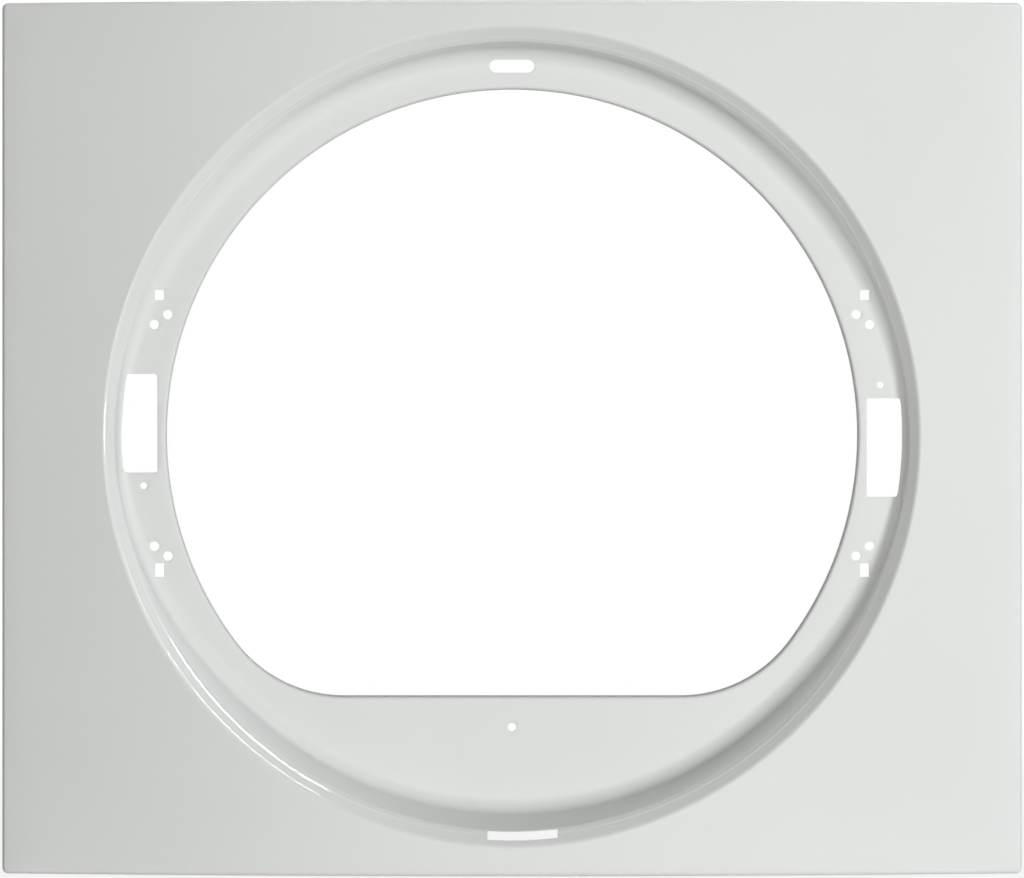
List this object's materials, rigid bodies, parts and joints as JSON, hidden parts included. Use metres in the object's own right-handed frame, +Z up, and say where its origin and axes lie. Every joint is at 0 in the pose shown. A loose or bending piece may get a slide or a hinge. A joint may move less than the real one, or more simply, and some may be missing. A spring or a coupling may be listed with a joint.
{
  "type": "appliance front panel",
  "caption": "Bowed sheet steel front panel of a tumble dryer, with a round stepped recess for the door and a large opening with a flat sill.",
  "frame": {"origin": "middle of the four fixing holes, in the plane of the rear flanges that lies against the cabinet", "axes": "+X to the right as seen from the front, +Y into the cabinet, +Z up; the bowed front faces -Y"},
  "size_m": [0.595, 0.0545, 0.5091],
  "materials": {
    "painted_steel": "smooth white stove enamel, semi-gloss"
  },
  "bodies": {
    "root": {"front_panel": "painted_steel"}
  },
  "joints": []
}
